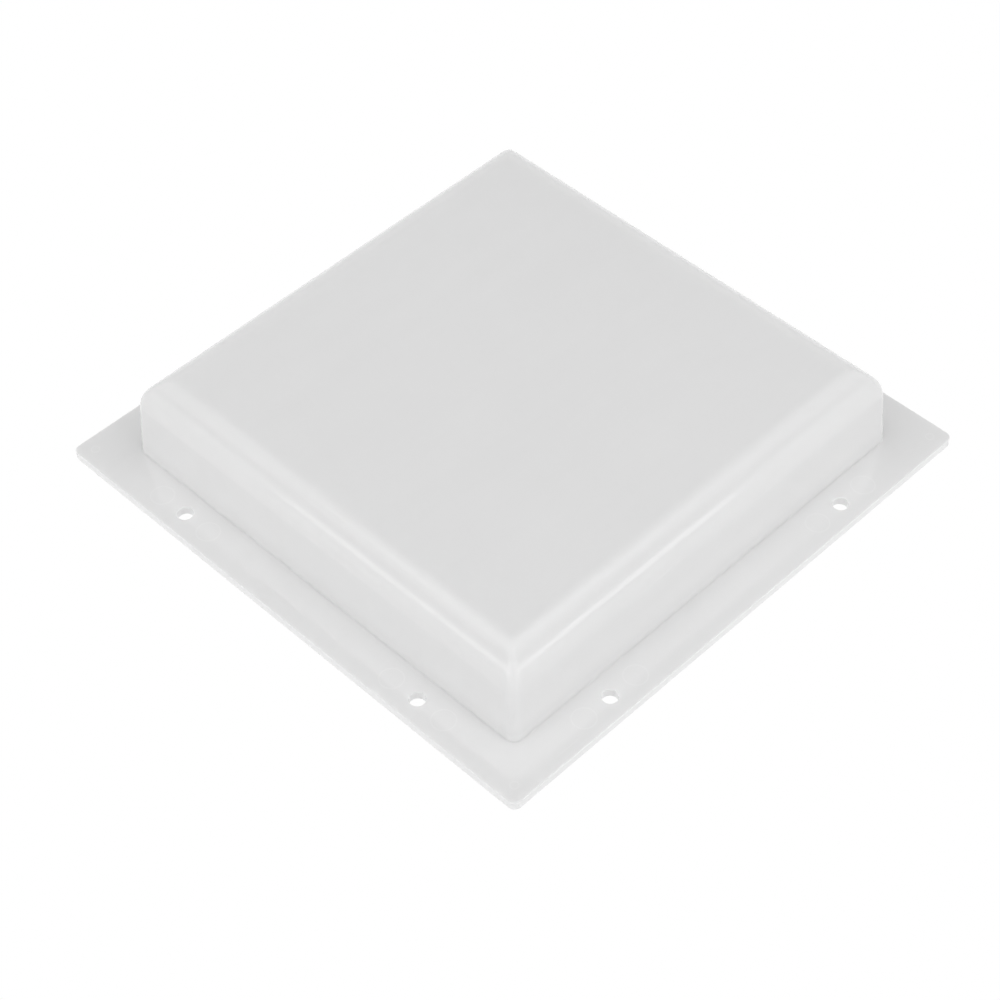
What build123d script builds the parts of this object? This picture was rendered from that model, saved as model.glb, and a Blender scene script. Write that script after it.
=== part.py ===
"""Square opal light cover, moulded in one piece.

A low hollow dome with drafted walls stands in the middle of a thin square screw flange. Two screw holes
run through each side of the flange, and the mould's ejector pins leave shallow round marks under it.

The origin is the centre of the flange's underside, which rests on the lamp body. +Z points out of the
dome. Everything is in millimetres and degrees.
"""

import os
from math import radians, tan

from build123d import *

# Flange: a flat square plate around the dome.
flange_side = 190.0
flange_width = 14.25
flange_thickness = 3.0
flange_corner_radius = 2.5
flange_edge_radius = 0.3

# Dome: drafted walls, a large round along the top edges and a small one on the upright corners.
overall_height = 32.0
draft_angle = 3.5
top_edge_radius = 11.0
dome_corner_radius = 3.2
foot_radius = 0.4

# Wall of the dome, the same all over. An inner corner is never sharper than the mould can cut.
wall_thickness = 3.0
smallest_inner_radius = 0.8

# Screw holes, two in each side of the flange.
hole_diameter = 5.0
hole_spacing = 100.0
hole_edge_distance = 7.0

# Ejector marks under the flange: one on either side of each hole, and a small one in each corner.
pin_mark_diameter = 7.2
pin_mark_to_hole = 10.5
corner_mark_diameter = 2.5
corner_mark_edge_distance = 5.0
mark_depth = 0.15

# Places and sizes that follow from the ones above.
draft_slope = tan(radians(draft_angle))
dome_base_side = flange_side - 2 * flange_width
hole_centre = flange_side / 2 - hole_edge_distance
corner_mark_centre = flange_side / 2 - corner_mark_edge_distance
cavity_height = overall_height - wall_thickness
cavity_base_side = dome_base_side + 2 * flange_thickness * draft_slope - 2 * wall_thickness
cavity_edge_radius = max(top_edge_radius - wall_thickness, smallest_inner_radius)
cavity_corner_radius = max(dome_corner_radius - wall_thickness, smallest_inner_radius)


def drafted_block(side: float, base: float, top: float, edge_radius: float, corner_radius: float) -> Part:
    """A square block that narrows upwards, with round top edges that meet in round mitred corners."""
    with BuildPart() as block:
        with BuildSketch(Plane.XY.offset(base)):
            Rectangle(side, side)
        extrude(amount=top - base, taper=draft_angle)
        fillet(block.faces().sort_by(Axis.Z)[-1].edges(), edge_radius)
        mitres = block.edges().filter_by(GeomType.ELLIPSE)
        fillet(mitres, corner_radius)
    return block.part


dome = drafted_block(
    dome_base_side,
    flange_thickness,
    overall_height,
    top_edge_radius,
    dome_corner_radius,
)
cavity = drafted_block(
    cavity_base_side,
    0.0,
    cavity_height,
    cavity_edge_radius,
    cavity_corner_radius,
)

with BuildPart() as diffuser_cover:
    # Flange plate, its outer edges lightly broken.
    with BuildSketch(Plane.XY):
        RectangleRounded(flange_side, flange_side, flange_corner_radius)
    extrude(amount=flange_thickness)
    fillet(diffuser_cover.faces().filter_by(Axis.Z).edges(), flange_edge_radius)

    # Dome, with a small round where its walls stand on the flange, and its hollow. Going up, the level
    # faces are the underside, the flange's top face around the dome, and the dome's top face.
    add(dome)
    flange_top = diffuser_cover.faces().filter_by(Axis.Z).sort_by(Axis.Z)[1]
    fillet(flange_top.inner_wires()[0].edges(), foot_radius)
    add(cavity, mode=Mode.SUBTRACT)

    # Screw holes: one rectangle of four along X and one along Y.
    with GridLocations(hole_spacing, 2 * hole_centre, 2, 2):
        Hole(hole_diameter / 2)
    with GridLocations(2 * hole_centre, hole_spacing, 2, 2):
        Hole(hole_diameter / 2)

    # Ejector marks, sunk into the underside.
    with BuildSketch(Plane.XY):
        for side_turn in (0, 90):
            with Locations(Location((0, 0, 0), (0, 0, side_turn))):
                with GridLocations(hole_spacing, 2 * hole_centre, 2, 2):
                    with GridLocations(2 * pin_mark_to_hole, 1, 2, 1):
                        Circle(pin_mark_diameter / 2)
        with GridLocations(2 * corner_mark_centre, 2 * corner_mark_centre, 2, 2):
            Circle(corner_mark_diameter / 2)
    extrude(amount=mark_depth, mode=Mode.SUBTRACT)

diffuser_cover.part.label = "diffuser_cover"

os.makedirs("parts", exist_ok=True)
export_step(diffuser_cover.part, "parts/diffuser_cover.step")
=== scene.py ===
"""Looks of a square opal light cover: one flanged moulding on a pale table under soft boxes.

The cover is one closed surface: a profile carried along a square path with rounded corners,
with the screw holes and the ejector marks let into its flange. Lengths inside the classes are
millimetres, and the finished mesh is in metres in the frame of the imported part.
"""

import logging
import math
from dataclasses import dataclass, field
from enum import Enum

import bpy
import numpy as np
from mathutils import Matrix, Vector


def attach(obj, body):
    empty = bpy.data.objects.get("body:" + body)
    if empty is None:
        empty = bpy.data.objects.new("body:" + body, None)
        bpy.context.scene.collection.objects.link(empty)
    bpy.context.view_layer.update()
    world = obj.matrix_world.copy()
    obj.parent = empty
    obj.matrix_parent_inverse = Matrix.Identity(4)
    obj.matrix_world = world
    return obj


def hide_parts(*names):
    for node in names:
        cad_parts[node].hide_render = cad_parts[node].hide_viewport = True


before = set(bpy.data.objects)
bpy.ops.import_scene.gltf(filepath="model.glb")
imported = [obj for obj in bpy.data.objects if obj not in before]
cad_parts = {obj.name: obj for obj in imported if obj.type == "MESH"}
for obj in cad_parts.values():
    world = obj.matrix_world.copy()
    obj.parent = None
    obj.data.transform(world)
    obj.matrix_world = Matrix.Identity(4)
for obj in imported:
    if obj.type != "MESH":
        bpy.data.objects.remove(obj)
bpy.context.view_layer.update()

MM = 0.001
LOG = logging.getLogger("opal_cover")


class RoundFeature(Enum):
    """What a circle in the flange is."""

    SCREW_HOLE = "goes through from face to face"
    EJECTOR_MARK = "sunk into the underside by a fraction of a millimetre"


# --- the surface ---------------------------------------------------------------------------


@dataclass
class Rows:
    """Rows of a profile, each a rounded square: half side, corner length, corner weight, height."""

    half: np.ndarray
    corner: np.ndarray
    weight: np.ndarray
    height: np.ndarray

    @staticmethod
    def of(half: object, corner: object, height: object, weight: object = math.sqrt(0.5)) -> "Rows":
        """Rows from numbers or arrays that are stretched to the same count.

        Args:
            half: half the side of each square.
            corner: length that each rounding takes from either side.
            height: height above the seating plane.
            weight: middle weight of the corner's conic, the root of one half for a circle.

        Returns:
            The rows.
        """
        given = (np.atleast_1d(np.asarray(v, float)) for v in (half, corner, weight, height))
        return Rows(*(v.copy() for v in np.broadcast_arrays(*given)))

    @staticmethod
    def joined(parts: list["Rows"]) -> "Rows":
        """The rows of several parts, one after the other."""
        columns = zip(*((p.half, p.corner, p.weight, p.height) for p in parts))
        return Rows(*(np.concatenate(column) for column in columns))

    def turned(self) -> "Rows":
        """The same rows in the other order."""
        return Rows(*(column[::-1] for column in (self.half, self.corner, self.weight, self.height)))


@dataclass(frozen=True)
class Stations:
    """Where each row has its points, from the middle of a side to the corner's diagonal.

    Attributes:
        fixed: distances from the middle of the side that every row shares.
        flank: steps from the last of them to where the rounding begins.
        corner: steps over half a corner.
    """

    fixed: np.ndarray
    flank: int
    corner: int

    @property
    def count(self) -> int:
        """Points from the middle of a side to the diagonal, both included."""
        return len(self.fixed) + self.flank + self.corner

    def loops(self, rows: Rows) -> np.ndarray:
        """Points of every row round the whole square.

        A point on the straight is (u, half) with u from the side's middle. On the corner it is the
        conic ((1-t)^2 A + 2 w t (1-t) V + t^2 B) / ((1-t)^2 + 2 w t (1-t) + t^2), with the two
        tangent points A and B, the square's corner V, and t from 0 to one half. The half side is
        mirrored about its middle, and the side is turned by quarter turns.

        Args:
            rows: the profile.

        Returns:
            An array of rows by points by three, running counter-clockwise seen from above.
        """
        half = rows.half[:, None]
        start = half - rows.corner[:, None]
        last = self.fixed[-1]
        along = np.linspace(0.0, 1.0, self.flank + 1)[None, 1:]
        t = np.linspace(0.0, 0.5, self.corner + 1)[None, 1:]
        a, b, c = (1 - t) ** 2, 2 * rows.weight[:, None] * t * (1 - t), t**2
        whole = a + b + c
        middle = np.tile(self.fixed, (len(rows.half), 1))
        u = np.hstack([middle, last + (start - last) * along, (a * start + (b + c) * half) / whole])
        level = np.tile(half, (1, len(self.fixed) + self.flank))
        v = np.hstack([level, ((a + b) * half + c * start) / whole])
        side_u = np.hstack([-u[:, :0:-1], u])[:, :-1]
        side_v = np.hstack([v[:, :0:-1], v])[:, :-1]
        x = np.hstack([side_v, -side_u, -side_v, side_u])
        y = np.hstack([side_u, side_v, -side_u, -side_v])
        return np.stack([x, y, np.broadcast_to(rows.height[:, None], x.shape)], axis=-1)


@dataclass
class Sheets:
    """Grids of points and the four-sided faces between them, welded into one closed mesh."""

    points: list[np.ndarray] = field(default_factory=list)
    quads: list[np.ndarray] = field(default_factory=list)
    held: int = 0

    def add(self, grid: np.ndarray, closed: bool, keep: np.ndarray | None = None) -> None:
        """Adds the faces between neighbouring rows and columns of a grid of points.

        Args:
            grid: rows by columns by three.
            closed: whether the last column joins the first.
            keep: which faces stay, as rows less one by faces across.
        """
        rows, columns = grid.shape[:2]
        number = self.held + np.arange(rows * columns).reshape(rows, columns)
        if closed:
            number = np.hstack([number, number[:, :1]])
        quads = np.stack([number[:-1, :-1], number[:-1, 1:], number[1:, 1:], number[1:, :-1]], axis=-1)
        self.points.append(grid.reshape(-1, 3))
        self.quads.append(quads[keep] if keep is not None else quads.reshape(-1, 4))
        self.held += rows * columns

    def welded(self, reach: float) -> tuple[np.ndarray, np.ndarray, np.ndarray]:
        """Points within reach of each other made one, with faces that lost a corner as triangles.

        Args:
            reach: the welding distance.

        Returns:
            The points, the four-sided faces and the triangles.
        """
        points, quads = np.vstack(self.points), np.vstack(self.quads)
        keys = np.round(points / reach + 0.317).astype(np.int64)
        _, first, number = np.unique(keys, axis=0, return_index=True, return_inverse=True)
        quads = number.reshape(-1)[quads]
        same = quads == np.roll(quads, -1, axis=1)
        lost = same.sum(axis=1)
        short, spare = quads[lost == 1], same[lost == 1].argmax(axis=1)
        picks = (spare[:, None] + np.array([1, 2, 3])) % 4
        whole, triangles = quads[lost == 0], np.take_along_axis(short, picks, axis=1)
        used = np.union1d(whole, triangles)
        return points[first][used], np.searchsorted(used, whole), np.searchsorted(used, triangles)


def face_normals(points: np.ndarray, faces: np.ndarray) -> np.ndarray:
    """Normals as long as twice the face's area: the cross product of its diagonals, or of two sides."""
    corner = points[faces]
    ends = (corner[:, 2] - corner[:, 0], corner[:, -1] - corner[:, 1])
    if faces.shape[1] == 3:
        ends = (corner[:, 1] - corner[:, 0], corner[:, 2] - corner[:, 0])
    return np.cross(*ends)


def smooth_normals(points: np.ndarray, quads: np.ndarray, triangles: np.ndarray) -> np.ndarray:
    """Point normals as the area-weighted mean of the faces round them, so that flats stay flat.

    Args:
        points: the mesh's points.
        quads: its four-sided faces.
        triangles: its triangles.

    Returns:
        One unit vector per point.
    """
    total = np.zeros_like(points)
    for faces in (quads, triangles):
        normals = face_normals(points, faces)
        for k in range(faces.shape[1]):
            np.add.at(total, faces[:, k], normals)
    return total / np.linalg.norm(total, axis=1, keepdims=True)


def mesh_object(name: str, sheets: Sheets, reach: float) -> bpy.types.Object:
    """A smooth object at the origin from sheets in millimetres.

    Args:
        name: the piece's name.
        sheets: its surface.
        reach: the welding distance in millimetres.

    Returns:
        The linked object, in metres.
    """
    points, quads, triangles = sheets.welded(reach)
    normals = smooth_normals(points, quads, triangles)
    mesh = bpy.data.meshes.new(name)
    mesh.from_pydata((points * MM).tolist(), [], quads.tolist() + triangles.tolist())
    mesh.polygons.foreach_set("use_smooth", np.ones(len(mesh.polygons), bool))
    mesh.normals_split_custom_set_from_vertices(normals.tolist())
    mesh.update()
    made = bpy.data.objects.new(name, mesh)
    bpy.context.scene.collection.objects.link(made)
    return made


# --- the finish ----------------------------------------------------------------------------


class NodeBench:
    """A shorthand for wiring the nodes of a material or a world."""

    def __init__(self, owner: bpy.types.Material | bpy.types.World) -> None:
        """Clears the owner's nodes.

        Args:
            owner: the material or world to wire.
        """
        owner.use_nodes = True
        self.tree = owner.node_tree
        self.tree.nodes.clear()

    def node(self, kind: str, **settings: object) -> bpy.types.Node:
        """A new node of that kind with these properties set."""
        made = self.tree.nodes.new(kind)
        for name, value in settings.items():
            setattr(made, name, value)
        return made

    def put(self, socket: bpy.types.NodeSocket, value: object) -> None:
        """Links a socket to the value if that is an output, or else sets it."""
        if isinstance(value, bpy.types.NodeSocket):
            self.tree.links.new(value, socket)
        else:
            socket.default_value = value

    def math(self, operation: str, *values: object, clamp: bool = False) -> bpy.types.NodeSocket:
        """The result of a Math node.

        Args:
            operation: its operation.
            values: its inputs, outputs of other nodes or numbers.
            clamp: whether the result is held between 0 and 1.

        Returns:
            Its output.
        """
        made = self.node("ShaderNodeMath", operation=operation, use_clamp=clamp)
        for socket, value in zip(made.inputs, values):
            self.put(socket, value)
        return made.outputs[0]

    def ramp(
        self, value: object, low: float, high: float, to_low: float, to_high: float
    ) -> bpy.types.NodeSocket:
        """A smooth step of a value.

        Args:
            value: what is stepped.
            low: where the step begins.
            high: where it ends.
            to_low: the result up to low.
            to_high: the result from high on.

        Returns:
            The result.
        """
        made = self.node("ShaderNodeMapRange", interpolation_type="SMOOTHSTEP")
        for socket, given in zip(made.inputs, (value, low, high, to_low, to_high)):
            self.put(socket, given)
        return made.outputs[0]

    def noise(
        self, vector: object, scale: float, detail: float, roughness: float = 0.5
    ) -> bpy.types.NodeSocket:
        """A Noise texture's value at the vector.

        Args:
            vector: where it is read.
            scale: features per metre.
            detail: octaves.
            roughness: how strong the finer octaves are.

        Returns:
            Its value output.
        """
        made = self.node("ShaderNodeTexNoise", noise_dimensions="3D")
        self.put(made.inputs["Vector"], vector)
        made.inputs["Scale"].default_value = scale
        made.inputs["Detail"].default_value = detail
        made.inputs["Roughness"].default_value = roughness
        return made.outputs[0]

    def vector(self, x: object, y: object, z: object) -> bpy.types.NodeSocket:
        """A vector from three values."""
        made = self.node("ShaderNodeCombineXYZ")
        for socket, value in zip(made.inputs, (x, y, z)):
            self.put(socket, value)
        return made.outputs[0]


@dataclass(frozen=True)
class OpalPlastic:
    """Glossy opal moulding plastic: light scatters inside, and a hazy share goes through.

    Attributes:
        white: colour of the scattered light.
        mean_path: how far light goes inside, in millimetres.
        see_through: share of the light that goes through as haze.
        haze: how blurred that is.
        gloss_blur: blur of the clear outer skin's reflections.
        index: refractive index of plastic and skin.
        cloud: how much the white varies in wide clouds.
        streak: how much it varies along the flow of the melt.
        painted_mark_rim_highlight: painted highlight at the rim of each ejector mark, how much lighter the
            step's edge is painted where it shows through.
        painted_foot_glow: painted light at the wall's foot, how much lighter the wall's colour is painted
            there as a bright line.
        foot_reach: how far up the wall that fades out, in millimetres.
        peel: height of the skin's waviness, in millimetres.
        scratch_middle: middle of the one scratch, in millimetres along X and Y.
        scratch_reach: how far it runs to either side of that, in millimetres.
        scratch_light: how much lighter it is.
    """

    white: float = 0.905
    mean_path: float = 1.0
    see_through: float = 0.1
    haze: float = 0.38
    gloss_blur: float = 0.06
    index: float = 1.5
    cloud: float = 0.004
    streak: float = 0.003
    painted_mark_rim_highlight: float = 0.036
    painted_foot_glow: float = 0.09
    foot_reach: float = 3.3
    peel: float = 0.02
    scratch_middle: tuple[float, float] = (-70.6, -91.8)
    scratch_reach: float = 5.2
    scratch_light: float = 0.035

    def material(self, name: str, flange: "Flange", dome: "Dome") -> bpy.types.Material:
        """The material.

        Args:
            name: its name.
            flange: where the ejector marks are, which show through faintly.
            dome: where the wall's foot is.

        Returns:
            The material.
        """
        made = bpy.data.materials.new(name)
        bench = NodeBench(made)
        place = bench.node("ShaderNodeTexCoord").outputs["Object"]
        split = bench.node("ShaderNodeSeparateXYZ")
        bench.put(split.inputs[0], place)
        shader = bench.node("ShaderNodeBsdfPrincipled", subsurface_method="RANDOM_WALK")
        output = bench.node("ShaderNodeOutputMaterial")
        bench.put(output.inputs["Surface"], shader.outputs[0])
        bench.put(shader.inputs["Base Color"], self.colour(bench, place, split, flange, dome))
        for socket in ("Normal", "Coat Normal"):
            bench.put(shader.inputs[socket], self.relief(bench, place))
        patchy = bench.noise(place, 90.0, 3.0)
        blur = bench.ramp(patchy, 0.3, 0.7, self.haze - 0.02, self.haze + 0.02)
        bench.put(shader.inputs["Roughness"], blur)
        shader.inputs["IOR"].default_value = self.index
        shader.inputs["Subsurface Weight"].default_value = 1.0
        shader.inputs["Subsurface Radius"].default_value = (1.0, 1.0, 1.0)
        shader.inputs["Subsurface Scale"].default_value = self.mean_path * MM
        shader.inputs["Transmission Weight"].default_value = self.see_through
        shader.inputs["Specular IOR Level"].default_value = 0.0
        shader.inputs["Coat Weight"].default_value = 1.0
        shader.inputs["Coat Roughness"].default_value = self.gloss_blur
        shader.inputs["Coat IOR"].default_value = self.index
        return made

    def colour(
        self,
        bench: NodeBench,
        place: bpy.types.NodeSocket,
        split: bpy.types.Node,
        flange: "Flange",
        dome: "Dome",
    ) -> bpy.types.NodeSocket:
        """The scattered colour: white with clouds, flow streaks and one lighter scratch, plus painted
        light: a painted bright line at the wall's foot and painted highlights at the ejector marks' rims.

        Args:
            bench: the material's bench.
            place: the object's coordinates.
            split: the same, split.
            flange: where the marks are.
            dome: where the wall's foot is.

        Returns:
            The colour.
        """
        across = [bench.math("ABSOLUTE", split.outputs[k]) for k in (0, 1)]
        out_way = bench.math("MAXIMUM", *across)
        shares = (
            bench.ramp(bench.noise(place, 22.0, 4.0), 0.35, 0.65, -self.cloud, self.cloud),
            bench.ramp(self.flow(bench, place), 0.35, 0.65, -self.streak, self.streak),
            # painted highlight at the rims of the ejector marks, where their steps catch light through the
            # plastic
            bench.ramp(self.from_marks(bench, across, flange), 0.0, 0.35 * MM, self.painted_mark_rim_highlight, 0.0),
            # painted light: a bright line at the wall's foot, fading upwards
            self.foot(bench, split.outputs[2], out_way, flange, dome),
            self.scratch(bench, split),
        )
        value: object = self.white
        for share in shares:
            value = bench.math("ADD", value, share)
        return bench.vector(value, value, value)

    @staticmethod
    def flow(bench: NodeBench, place: bpy.types.NodeSocket) -> bpy.types.NodeSocket:
        """Noise drawn out along the way the melt ran, from one corner to the other."""
        stretch = bench.node("ShaderNodeMapping")
        bench.put(stretch.inputs["Vector"], place)
        stretch.inputs["Rotation"].default_value = (0.0, 0.0, math.radians(45.0))
        stretch.inputs["Scale"].default_value = (0.12, 1.0, 1.0)
        return bench.noise(stretch.outputs[0], 110.0, 4.0, 0.6)

    @staticmethod
    def from_marks(
        bench: NodeBench, across: list[bpy.types.NodeSocket], flange: "Flange"
    ) -> bpy.types.NodeSocket:
        """Distance from the rim of the nearest ejector mark; the marks fold onto one eighth of the flange.

        Args:
            bench: the material's bench.
            across: distances from the two middle planes.
            flange: where the marks are.

        Returns:
            The distance in metres.
        """
        beside = bench.math("SUBTRACT", bench.math("MINIMUM", *across), flange.hole_spacing / 2 * MM)
        beside = bench.math("SUBTRACT", bench.math("ABSOLUTE", beside), flange.mark_offset * MM)
        out = bench.math("SUBTRACT", bench.math("MAXIMUM", *across), flange.hole_centre * MM)
        corner = (flange.half - flange.corner_mark_edge_distance) * MM
        gaps = [bench.math("SUBTRACT", one, corner) for one in across]
        rims = []
        for legs, diameter in (([beside, out], flange.mark_diameter), (gaps, flange.corner_mark_diameter)):
            squares = [bench.math("MULTIPLY", leg, leg) for leg in legs]
            away = bench.math("SQRT", bench.math("ADD", *squares))
            rims.append(bench.math("ABSOLUTE", bench.math("SUBTRACT", away, diameter / 2 * MM)))
        return bench.math("MINIMUM", *rims)

    def foot(
        self,
        bench: NodeBench,
        height: bpy.types.NodeSocket,
        out_way: bpy.types.NodeSocket,
        flange: "Flange",
        dome: "Dome",
    ) -> bpy.types.NodeSocket:
        """Painted light: extra white on the outside of the wall just above the flange, a painted bright
        line that fades upwards in two steps.

        Args:
            bench: the material's bench.
            height: the object's Z.
            out_way: distance from the middle, across the nearest side.
            flange: what the wall stands on.
            dome: the dome.

        Returns:
            The painted light to add to the white.
        """
        low, base = flange.thickness, dome.base_side / 2
        start, reach = (low + 1.0) * MM, self.foot_reach
        narrow = bench.ramp(height, start, (low + reach) * MM, 0.55 * self.painted_foot_glow, 0.0)
        wide = bench.ramp(height, start, (low + 4 * reach) * MM, 0.45 * self.painted_foot_glow, 0.0)
        fade = bench.math("ADD", narrow, wide)
        rise = bench.ramp(height, (low + 0.15) * MM, (low + 0.5) * MM, 0.0, 1.0)
        outside = bench.ramp(out_way, (base - 1.6) * MM, (base - 1.2) * MM, 0.0, 1.0)
        return bench.math("MULTIPLY", bench.math("MULTIPLY", fade, rise), outside)

    def scratch(self, bench: NodeBench, split: bpy.types.Node) -> bpy.types.NodeSocket:
        """One faint scratch along the flange's upper face, thin and softer at its ends."""
        x, y, z = split.outputs
        middle_x, middle_y = (value * MM for value in self.scratch_middle)
        off_line = bench.math("ABSOLUTE", bench.math("SUBTRACT", y, middle_y))
        off_middle = bench.math("ABSOLUTE", bench.math("SUBTRACT", x, middle_x))
        reach = self.scratch_reach * MM
        thin = bench.ramp(off_line, 0.05 * MM, 0.16 * MM, 1.0, 0.0)
        ends = bench.ramp(off_middle, 0.48 * reach, reach, self.scratch_light, 0.0)
        above = bench.math("GREATER_THAN", z, 2.0 * MM)
        return bench.math("MULTIPLY", bench.math("MULTIPLY", thin, ends), above)

    def relief(self, bench: NodeBench, place: bpy.types.NodeSocket) -> bpy.types.NodeSocket:
        """The skin's normal, bent by the slight waviness of a gloss moulding."""
        bump = bench.node("ShaderNodeBump")
        bump.inputs["Strength"].default_value = 1.0
        bump.inputs["Distance"].default_value = self.peel * MM
        bench.put(bump.inputs["Height"], bench.noise(place, 140.0, 2.0, 0.45))
        return bump.outputs[0]


# --- the cover -----------------------------------------------------------------------------


@dataclass(frozen=True)
class Flange:
    """The flat rim: sizes in millimetres."""

    side: float = 190.0
    thickness: float = 3.0
    corner_radius: float = 2.5
    edge_radius: float = 0.3
    hole_diameter: float = 5.0
    hole_spacing: float = 100.0
    hole_edge_distance: float = 7.0
    rim_radius: float = 0.15
    mark_diameter: float = 7.2
    mark_offset: float = 10.5
    mark_depth: float = 0.15
    corner_mark_diameter: float = 2.5
    corner_mark_edge_distance: float = 5.0
    patch_half: float = 4.5
    patch_steps: int = 12

    @property
    def half(self) -> float:
        """Half the flange's side."""
        return self.side / 2

    @property
    def hole_centre(self) -> float:
        """Distance of the hole centres from the middle, across the side."""
        return self.half - self.hole_edge_distance

    @property
    def patch_spread(self) -> np.ndarray:
        """Lines of a square patch that the circle in it meets at even angles."""
        return self.patch_half * np.tan(np.linspace(-math.pi / 4, math.pi / 4, self.patch_steps + 1))

    @property
    def circle_places(self) -> tuple[tuple[float, RoundFeature], ...]:
        """Circles along half a side, each at its distance from the middle."""
        middle = self.hole_spacing / 2
        return (
            (middle - self.mark_offset, RoundFeature.EJECTOR_MARK),
            (middle, RoundFeature.SCREW_HOLE),
            (middle + self.mark_offset, RoundFeature.EJECTOR_MARK),
        )

    def face_lines(self) -> np.ndarray:
        """Half sides of the rows that every flat face of the flange has, outwards."""
        inner = self.hole_centre + self.patch_spread
        return np.concatenate([inner, [self.half - 1.4, self.half - self.edge_radius]])


@dataclass(frozen=True)
class Dome:
    """The hollow dome on the flange: sizes in millimetres, the draft in degrees."""

    height: float = 32.0
    base_side: float = 161.5
    draft: float = 3.5
    top_radius: float = 11.0
    corner_radius: float = 3.2
    foot_radius: float = 0.4
    wall: float = 3.0
    cavity_base_side: float = 155.87
    cavity_edge_radius: float = 8.0
    cavity_corner_radius: float = 0.8
    mouth_radius: float = 0.15

    @property
    def slope(self) -> float:
        """The draft in radians."""
        return math.radians(self.draft)

    def wall_rows(
        self, base: float, foot: float, start: float, top: float, radius: float, corner: float
    ) -> Rows:
        """Rows up a drafted wall and round its top edge.

        The wall's half side is base - (z - foot) tan(draft). The edge is an arc of the radius, tangent
        to the wall and to the flat at the top. At a surface angle f above the horizontal the corner's
        blend takes corner * cos(f) from each side, with the weight of the section through a rolling
        ball's path: cos(f)^2 / (2 - sqrt(2 + 2 sin(f)^2)) - 1.

        Args:
            base: half side at the foot height.
            foot: that height.
            start: height at which the rows start.
            top: height of the flat.
            radius: radius of the top edge.
            corner: radius of the upright edges.

        Returns:
            The rows, upwards.
        """
        slope = self.slope
        centre_z = top - radius
        centre = base - (centre_z - foot) * math.tan(slope) - radius / math.cos(slope)
        up = np.linspace(start, centre_z + radius * math.sin(slope), 7)[:-1]
        side = base - (up - foot) * math.tan(slope)
        straight = Rows.of(side, corner * math.cos(slope), up, self.blend_weight(slope))
        angle = np.linspace(slope, math.pi / 2, 25)
        edge = Rows.of(
            centre + radius * np.cos(angle),
            corner * np.cos(angle),
            centre_z + radius * np.sin(angle),
            self.blend_weight(angle),
        )
        return Rows.joined([straight, edge])

    @staticmethod
    def blend_weight(angle: object) -> np.ndarray:
        """Middle weight of a corner's conic at a surface angle, which nears 1 at the flat."""
        rise = np.minimum(np.asarray(angle, float), math.pi / 2 - 1e-3)
        return np.cos(rise) ** 2 / (2 - np.sqrt(2 + 2 * np.sin(rise) ** 2)) - 1


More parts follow.
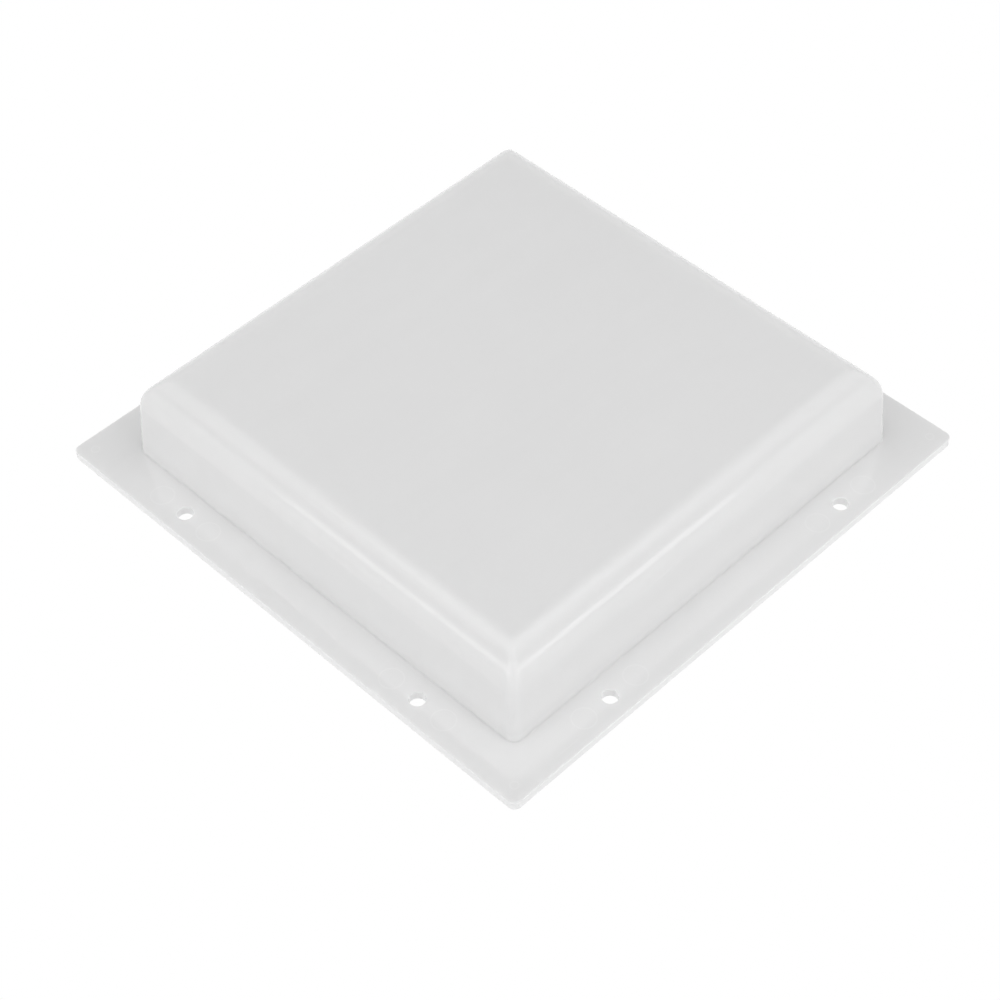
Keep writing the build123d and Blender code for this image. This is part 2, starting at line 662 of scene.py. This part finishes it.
@dataclass
class OpalCover:
    """The one-piece cover: dome and flange in one moulding."""

    flange: Flange = field(default_factory=Flange)
    dome: Dome = field(default_factory=Dome)
    finish: OpalPlastic = field(default_factory=OpalPlastic)
    middle_steps: int = 5
    flank_steps: int = 4
    corner_steps: int = 8
    corner_mark_rows: tuple[int, int] = (7, 5)
    weld: float = 1e-4

    def stations(self) -> Stations:
        """Stations that every row shares: even steps, with a patch of lines at each circle."""
        spread = self.flange.patch_spread
        patches = np.concatenate([place + spread for place, _ in self.flange.circle_places])
        middle = np.linspace(0.0, patches[0], self.middle_steps + 1)[:-1]
        return Stations(np.concatenate([middle, patches]), self.flank_steps, self.corner_steps)

    def outer_rows(self) -> Rows:
        """Rows from the flange's top edge inwards over its face, the foot and the dome's wall and edge."""
        flange, dome = self.flange, self.dome
        slope, foot = dome.slope, dome.foot_radius
        base, level = dome.base_side / 2, flange.thickness
        centre = base - foot * math.tan(slope) + foot / math.cos(slope)
        upright = dome.corner_radius * math.cos(slope)
        lines = flange.face_lines()[::-1]
        rim_corner = flange.corner_radius - flange.edge_radius
        corner = np.interp(lines, [centre, 88.0, 92.5, lines[0]], [upright + foot, 5.0, 4.5, rim_corner])
        face = Rows.of(lines, corner, level)
        angle = np.linspace(math.pi / 2, slope, 6)[:-1]
        curve = centre - foot * np.cos(angle)
        wall_side = centre - foot * math.cos(slope)
        blend = Rows.of(curve, upright + (curve - wall_side), level + foot - foot * np.sin(angle))
        start = level + foot - foot * math.sin(slope)
        wall = dome.wall_rows(base, level, start, dome.height, dome.top_radius, dome.corner_radius)
        return Rows.joined([face, blend, wall])

    def inner_rows(self) -> Rows:
        """Rows from the cavity's roof down its walls to the mouth and out over the underside."""
        flange, dome = self.flange, self.dome
        slope, round_off = dome.slope, dome.mouth_radius
        base = dome.cavity_base_side / 2
        start = round_off - round_off * math.sin(slope)
        wall = dome.wall_rows(
            base, 0.0, start, dome.height - dome.wall, dome.cavity_edge_radius, dome.cavity_corner_radius
        )
        down = wall.turned()
        centre = base - round_off * math.tan(slope) + round_off / math.cos(slope)
        angle = np.linspace(slope, math.pi / 2, 4)[1:]
        curve = centre - round_off * np.cos(angle)
        upright = dome.cavity_corner_radius * math.cos(slope)
        mouth = Rows.of(curve, upright + curve - down.half[-1], round_off - round_off * np.sin(angle))
        lines = np.concatenate([[curve[-1] + 2.6], flange.face_lines()])
        rim_corner = flange.corner_radius - flange.edge_radius
        corner = np.interp(lines, [curve[-1], 86.0, 92.5, lines[-1]], [upright, 5.5, 4.5, rim_corner])
        return Rows.joined([down, mouth, Rows.of(lines, corner, 0.0)])

    def edge_rows(self) -> Rows:
        """Rows up the flange's outer edge, with its two rounds, without the flat faces' last rows."""
        flange = self.flange
        centre, radius = flange.half - flange.edge_radius, flange.edge_radius
        low = np.linspace(0.0, math.pi / 2, 5)[1:]
        high = np.linspace(0.0, math.pi / 2, 5)[:-1]
        half = np.concatenate([centre + radius * np.sin(low), centre + radius * np.cos(high)])
        over = flange.thickness - radius + radius * np.sin(high)
        height = np.concatenate([radius - radius * np.cos(low), over])
        return Rows.of(half, flange.corner_radius - radius + (half - centre), height)

    def build(self, name: str) -> bpy.types.Object:
        """Builds the whole surface.

        Args:
            name: the piece's name.

        Returns:
            The object.
        """
        stations = self.stations()
        sheets = Sheets()
        inner, edge, outer = self.inner_rows(), self.edge_rows(), self.outer_rows()
        rows = Rows.joined([inner, edge, outer])
        loops = stations.loops(rows)
        keep = np.ones((len(rows.half) - 1, loops.shape[1]), bool)
        lines = self.flange.face_lines()
        steps = self.flange.patch_steps
        under = len(inner.half) - len(lines)
        over = len(inner.half) + len(edge.half) + len(lines) - 1 - steps
        per_side = 2 * (stations.count - 1)
        for side in range(4):
            for spot, (place, kind) in enumerate(self.flange.circle_places):
                for mirrored in (False, True):
                    offset = self.middle_steps + spot * (steps + 1)
                    start = stations.count - 1 + (offset if not mirrored else -offset - steps)
                    columns = np.arange(start, start + steps) + side * per_side
                    keep[under : under + steps, columns] = False
                    if kind is RoundFeature.SCREW_HOLE:
                        keep[over : over + steps, columns] = False
                    border = self.patch_border(loops, under, columns)
                    self.circle(sheets, border, -place if mirrored else place, side, kind)
        self.corner_marks(sheets, loops, keep, under, per_side)
        sheets.add(loops, True, keep)
        self.flat(sheets, stations, inner, 0, False)
        self.flat(sheets, stations, outer, -1, True)
        return mesh_object(name, sheets, self.weld)

    @staticmethod
    def patch_border(
        loops: np.ndarray, row: int, columns: np.ndarray, steps: int | None = None
    ) -> np.ndarray:
        """Points round a block of faces on the underside, starting along its inner line.

        Args:
            loops: all points.
            row: the block's first row.
            columns: the block's columns of faces.
            steps: its rows of faces, as many as its columns if not given.

        Returns:
            The border's points, without a repeat of the first.
        """
        rows = np.arange(row, row + (len(columns) if steps is None else steps) + 1)
        across = np.append(columns, columns[-1] + 1) % loops.shape[1]
        block = loops[rows][:, across]
        return np.concatenate([block[0, :-1], block[:-1, -1], block[-1, :0:-1], block[:0:-1, 0]])

    def circle(
        self, sheets: Sheets, border: np.ndarray, place: float, side: int, kind: RoundFeature
    ) -> None:
        """Fills a patch's border with a screw hole or an ejector mark.

        Args:
            sheets: where the faces go.
            border: the patch's border on the underside.
            place: the circle's distance from the side's middle.
            side: which side, counted in quarter turns from +X.
            kind: what the circle is.
        """
        turn = side * math.pi / 2
        out, along = self.flange.hole_centre, place
        cosine, sine = math.cos(turn), math.sin(turn)
        centre = np.array([out * cosine - along * sine, out * sine + along * cosine, 0.0])
        if kind is RoundFeature.SCREW_HOLE:
            self.hole(sheets, border, centre)
        else:
            self.mark(sheets, border, centre, self.flange.mark_diameter / 2)

    @staticmethod
    def rings(border: np.ndarray, centre: np.ndarray, radius: np.ndarray, height: np.ndarray) -> np.ndarray:
        """Circles about the centre whose points face those of the border.

        Args:
            border: the points that set the angles.
            centre: the circles' centre.
            radius: each circle's radius.
            height: each circle's height.

        Returns:
            Circles by points by three.
        """
        ray = border[:, :2] - centre[:2]
        ray = ray / np.linalg.norm(ray, axis=1, keepdims=True)
        flat = centre[:2] + np.asarray(radius, float)[:, None, None] * ray
        tall = np.broadcast_to(np.asarray(height, float)[:, None, None], (*flat.shape[:2], 1))
        return np.concatenate([flat, tall], axis=-1)

    def hole(self, sheets: Sheets, border: np.ndarray, centre: np.ndarray) -> None:
        """A through hole with a small round at either rim, from the lower face to the upper one.

        Args:
            sheets: where the faces go.
            border: the patch's border on the underside.
            centre: the hole's centre on the underside.
        """
        radius, rim = self.flange.hole_diameter / 2, self.flange.rim_radius
        thick = self.flange.thickness
        angle = np.linspace(0.0, math.pi / 2, 4)
        low_r, low_z = radius + rim - rim * np.sin(angle), rim - rim * np.cos(angle)
        circle_r = np.concatenate([low_r, low_r[::-1]])
        circle_z = np.concatenate([low_z, thick - low_z[::-1]])
        circles = self.rings(border, centre, circle_r, circle_z)
        ends = [border * np.array([1.0, 1.0, 0.0]) + np.array([0.0, 0.0, z]) for z in (0.0, thick)]
        near = [0.5 * (ends[0] + circles[0]), 0.5 * (ends[1] + circles[-1])]
        sheets.add(np.concatenate([[ends[0], near[0]], circles, [near[1], ends[1]]]), True)

    def mark(self, sheets: Sheets, border: np.ndarray, centre: np.ndarray, radius: float) -> None:
        """A shallow round recess in the underside: a soft step, a flat floor and one point in the middle.

        Args:
            sheets: where the faces go.
            border: the patch's border on the underside.
            centre: the mark's centre on the underside.
            radius: the mark's radius.
        """
        depth = self.flange.mark_depth
        step = radius - np.array([0.0, 0.03, 0.09, 0.14])
        circles_r = np.concatenate([step, np.array([0.6, 0.25, 0.0]) * radius])
        circles_z = np.array([0.0, 0.35, 0.9, 1.0, 1.0, 1.0, 1.0]) * depth
        circles = self.rings(border, centre, circles_r, circles_z)
        near = 0.5 * (border + circles[0])
        sheets.add(np.concatenate([[border, near], circles]), True)

    def corner_marks(
        self, sheets: Sheets, loops: np.ndarray, keep: np.ndarray, under: int, per_side: int
    ) -> None:
        """The four small marks, each let into a block of faces that straddles a corner's diagonal.

        Args:
            sheets: where the faces go.
            loops: all points.
            keep: which faces of the loops stay, changed here.
            under: first row of the underside's patches.
            per_side: columns of a whole side.
        """
        first, rows = under + self.corner_mark_rows[0], self.corner_mark_rows[1]
        out = self.flange.half - self.flange.corner_mark_edge_distance
        reach = self.corner_steps
        for corner in range(4):
            columns = (np.arange(-reach, reach) + (corner + 1) * per_side) % (4 * per_side)
            keep[first : first + rows, columns] = False
            border = self.patch_border(loops, first, columns, rows)
            turn = corner * math.pi / 2
            cosine, sine = math.cos(turn), math.sin(turn)
            centre = np.array([out * (cosine - sine), out * (sine + cosine), 0.0])
            self.mark(sheets, border, centre, self.flange.corner_mark_diameter / 2)

    @staticmethod
    def flat(sheets: Sheets, stations: Stations, rows: Rows, which: int, upward: bool) -> None:
        """The flat inside the last row of an edge, as a square grid on that row's own stations.

        Args:
            sheets: where the faces go.
            stations: the stations.
            rows: the rows that end at the flat.
            which: the row at the flat.
            upward: whether the flat faces up.
        """
        half, height = rows.half[which], rows.height[which]
        flank = np.linspace(stations.fixed[-1], half, stations.flank + 1)[1:]
        lines = np.concatenate([stations.fixed, flank])
        lines = np.concatenate([-lines[:0:-1], lines])
        x, y = np.meshgrid(lines, lines if upward else lines[::-1], indexing="xy")
        sheets.add(np.stack([x, y, np.full_like(x, height)], axis=-1), False)

    def dress(self, cover: bpy.types.Object) -> None:
        """Gives the cover its plastic."""
        plastic = self.finish.material("opal_moulding_plastic", self.flange, self.dome)
        cover.data.materials.append(plastic)


# --- the studio ----------------------------------------------------------------------------


@dataclass(frozen=True)
class SoftBox:
    """A rectangular soft light that faces the object.

    Attributes:
        name: its name.
        direction: from the object to the middle of the light, as right, away and up seen by the camera.
        distance: how far that is, in metres.
        size: width and height in metres.
        radiance: how bright its face is, with white at 1.
    """

    name: str
    direction: tuple[float, float, float]
    distance: float
    size: tuple[float, float]
    radiance: float

    def place(self, turn: float) -> bpy.types.Object:
        """Makes the light.

        Args:
            turn: heading of the camera in radians, which "away" follows.

        Returns:
            The light.
        """
        data = bpy.data.lights.new(self.name, "AREA")
        data.shape = "RECTANGLE"
        data.size, data.size_y = self.size
        data.energy = self.radiance * math.pi * self.size[0] * self.size[1]
        made = bpy.data.objects.new(self.name, data)
        right, away, up = self.direction
        heading = Matrix.Rotation(turn, 3, "Z")
        ray = (heading @ Vector((right, away, up))).normalized()
        made.location = ray * self.distance
        made.rotation_mode = "QUATERNION"
        made.rotation_quaternion = ray.to_track_quat("Z", "Y")
        made.visible_camera = False
        bpy.context.scene.collection.objects.link(made)
        return made


@dataclass(frozen=True)
class Viewpoint:
    """Where the camera stands: angles in degrees, lengths in metres, the lens in millimetres."""

    azimuth: float = -43.87
    elevation: float = 48.04
    distance: float = 0.7625
    to_right: float = -0.0041
    upward: float = -0.0153
    roll: float = -1.69
    lens: float = 89.72

    def place(self) -> bpy.types.Object:
        """Makes the scene's camera, which looks along the line from its azimuth and elevation."""
        a, e = math.radians(self.azimuth), math.radians(self.elevation)
        back = Vector((math.sin(a) * math.cos(e), -math.cos(a) * math.cos(e), math.sin(e)))
        right = (-back).cross(Vector((0.0, 0.0, 1.0))).normalized()
        up = right.cross(-back)
        roll = math.radians(self.roll)
        x_axis = right * math.cos(roll) + up * math.sin(roll)
        y_axis = up * math.cos(roll) - right * math.sin(roll)
        data = bpy.data.cameras.new("camera")
        data.lens, data.sensor_width = self.lens, 36.0
        data.clip_start, data.clip_end = 0.01, 100.0
        made = bpy.data.objects.new("camera", data)
        turned = Matrix((x_axis, y_axis, back)).transposed().to_4x4()
        turned.translation = back * self.distance + right * self.to_right + up * self.upward
        made.matrix_world = turned
        bpy.context.scene.collection.objects.link(made)
        bpy.context.scene.camera = made
        return made


@dataclass(frozen=True)
class Opening:
    """A dark opening in the white room.

    Attributes:
        direction: where it is, as right, away and up seen by the camera.
        core: its dark middle's reach, in degrees.
        reach: where it ends, in degrees.
        left: share of the room's light that it keeps.
    """

    direction: tuple[float, float, float]
    core: float
    reach: float
    left: float


@dataclass
class Studio:
    """The pale table, the white room with its soft lights, and the camera.

    Attributes:
        view: the camera's place.
        table_reach: half the table's side, in metres.
        table_gap: how far under the object it lies, in metres.
        close_reach: how near a surface is that the table lights as plain white, in metres.
        table_white: the table's colour for all other light.
        table_glow: what it gives off of its own.
        surround: the room's brightness, with white at 1.
        boxes: the soft lights.
        openings: the room's dark openings.
    """

    view: Viewpoint = field(default_factory=Viewpoint)
    table_reach: float = 6.0
    table_gap: float = 0.00025
    close_reach: float = 0.005
    table_white: float = 0.8
    table_glow: float = 0.06
    surround: float = 0.92
    boxes: tuple[SoftBox, ...] = (
        SoftBox("overhead", (0.0, 0.02, 1.0), 1.6, (2.2, 0.9), 0.72),
        SoftBox("left_side", (-0.805, -0.500, 0.325), 1.6, (1.2, 0.36), 1.2),
        SoftBox("right_side", (0.775, -0.545, 0.325), 1.6, (1.2, 0.36), 1.5),
        SoftBox("left_key", (-0.6, -0.62, 0.75), 1.6, (0.9, 0.7), 0.9),
        SoftBox("right_key", (0.6, -0.62, 0.75), 1.6, (0.9, 0.7), 0.9),
    )
    openings: tuple[Opening, ...] = (
        Opening((0.0, 0.67, 0.74), 12.0, 26.0, 0.05),
        Opening((0.0, -0.74, 0.67), 6.0, 14.0, 0.1),
        Opening((-0.80, -0.06, 0.59), 4.0, 13.5, 0.15),
        Opening((0.80, -0.06, 0.59), 4.0, 13.5, 0.15),
    )

    def build(self) -> None:
        """Sets the table, the lights, the surround and the camera."""
        self.view.place()
        self.table()
        self.surroundings()
        for box in self.boxes:
            box.place(math.radians(self.view.azimuth))
        scene = bpy.context.scene
        scene.view_settings.view_transform = "Standard"
        scene.view_settings.look = "None"

    def table(self) -> bpy.types.Object:
        """A large white table just under the object, plain white to the camera and in reflections."""
        reach, low = self.table_reach, -self.table_gap
        mesh = bpy.data.meshes.new("table")
        corners = [(-reach, -reach, low), (reach, -reach, low), (reach, reach, low), (-reach, reach, low)]
        mesh.from_pydata(corners, [], [(0, 1, 2, 3)])
        table = bpy.data.objects.new("table", mesh)
        bpy.context.scene.collection.objects.link(table)
        finish = bpy.data.materials.new("white_table")
        bench = NodeBench(finish)
        shade = bench.node("ShaderNodeBsdfDiffuse")
        shade.inputs["Color"].default_value = (*[self.table_white] * 3, 1.0)
        glow = bench.node("ShaderNodeEmission")
        glow.inputs["Strength"].default_value = self.table_glow
        both = bench.node("ShaderNodeAddShader")
        bench.put(both.inputs[0], shade.outputs[0])
        bench.put(both.inputs[1], glow.outputs[0])
        backlit = bench.node("ShaderNodeEmission")
        seen = bench.node("ShaderNodeMixShader")
        path = bench.node("ShaderNodeLightPath").outputs
        white = bench.math("MAXIMUM", path["Is Camera Ray"], path["Is Glossy Ray"])
        # The table also lights what stands right beside it: the holes' walls and the rim's edge.
        close = bench.math("LESS_THAN", path["Ray Length"], self.close_reach)
        clear = bench.math("GREATER_THAN", path["Ray Length"], 2.5 * self.table_gap)
        bench.put(seen.inputs[0], bench.math("MAXIMUM", white, bench.math("MULTIPLY", close, clear)))
        bench.put(seen.inputs[1], both.outputs[0])
        bench.put(seen.inputs[2], backlit.outputs[0])
        bench.put(bench.node("ShaderNodeOutputMaterial").inputs["Surface"], seen.outputs[0])
        mesh.materials.append(finish)
        return table

    def surroundings(self) -> None:
        """A white room with dark openings, which the camera itself sees as white."""
        world = bpy.data.worlds.new("room")
        bench = NodeBench(world)
        ray = bench.node("ShaderNodeTexCoord").outputs["Generated"]
        level: object = self.surround
        for opening in self.openings:
            turned = Matrix.Rotation(math.radians(self.view.azimuth), 3, "Z") @ Vector(opening.direction)
            cosine = bench.node("ShaderNodeVectorMath", operation="DOT_PRODUCT")
            bench.put(cosine.inputs[0], ray)
            bench.put(cosine.inputs[1], turned.normalized())
            edge, core = (math.cos(math.radians(a)) for a in (opening.reach, opening.core))
            share = bench.ramp(cosine.outputs["Value"], edge, core, 1.0, opening.left)
            level = bench.math("MULTIPLY", level, share)
        seen = bench.node("ShaderNodeLightPath").outputs["Is Camera Ray"]
        level = bench.math("MAXIMUM", level, seen)
        background = bench.node("ShaderNodeBackground")
        bench.put(background.inputs["Strength"], level)
        bench.put(bench.node("ShaderNodeOutputWorld").inputs["Surface"], background.outputs[0])
        bpy.context.scene.world = world


def main() -> None:
    """Builds the cover and the studio."""
    logging.basicConfig(level=logging.INFO, format="%(message)s")
    Studio().build()
    cover = OpalCover()
    piece = cover.build("opal_cover")
    cover.dress(piece)
    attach(piece, "root")
    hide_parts("diffuser_cover")
    LOG.info("%s: %d points, %d faces", piece.name, len(piece.data.vertices), len(piece.data.polygons))
    bpy.context.view_layer.update()


if __name__ == "__main__":
    main()
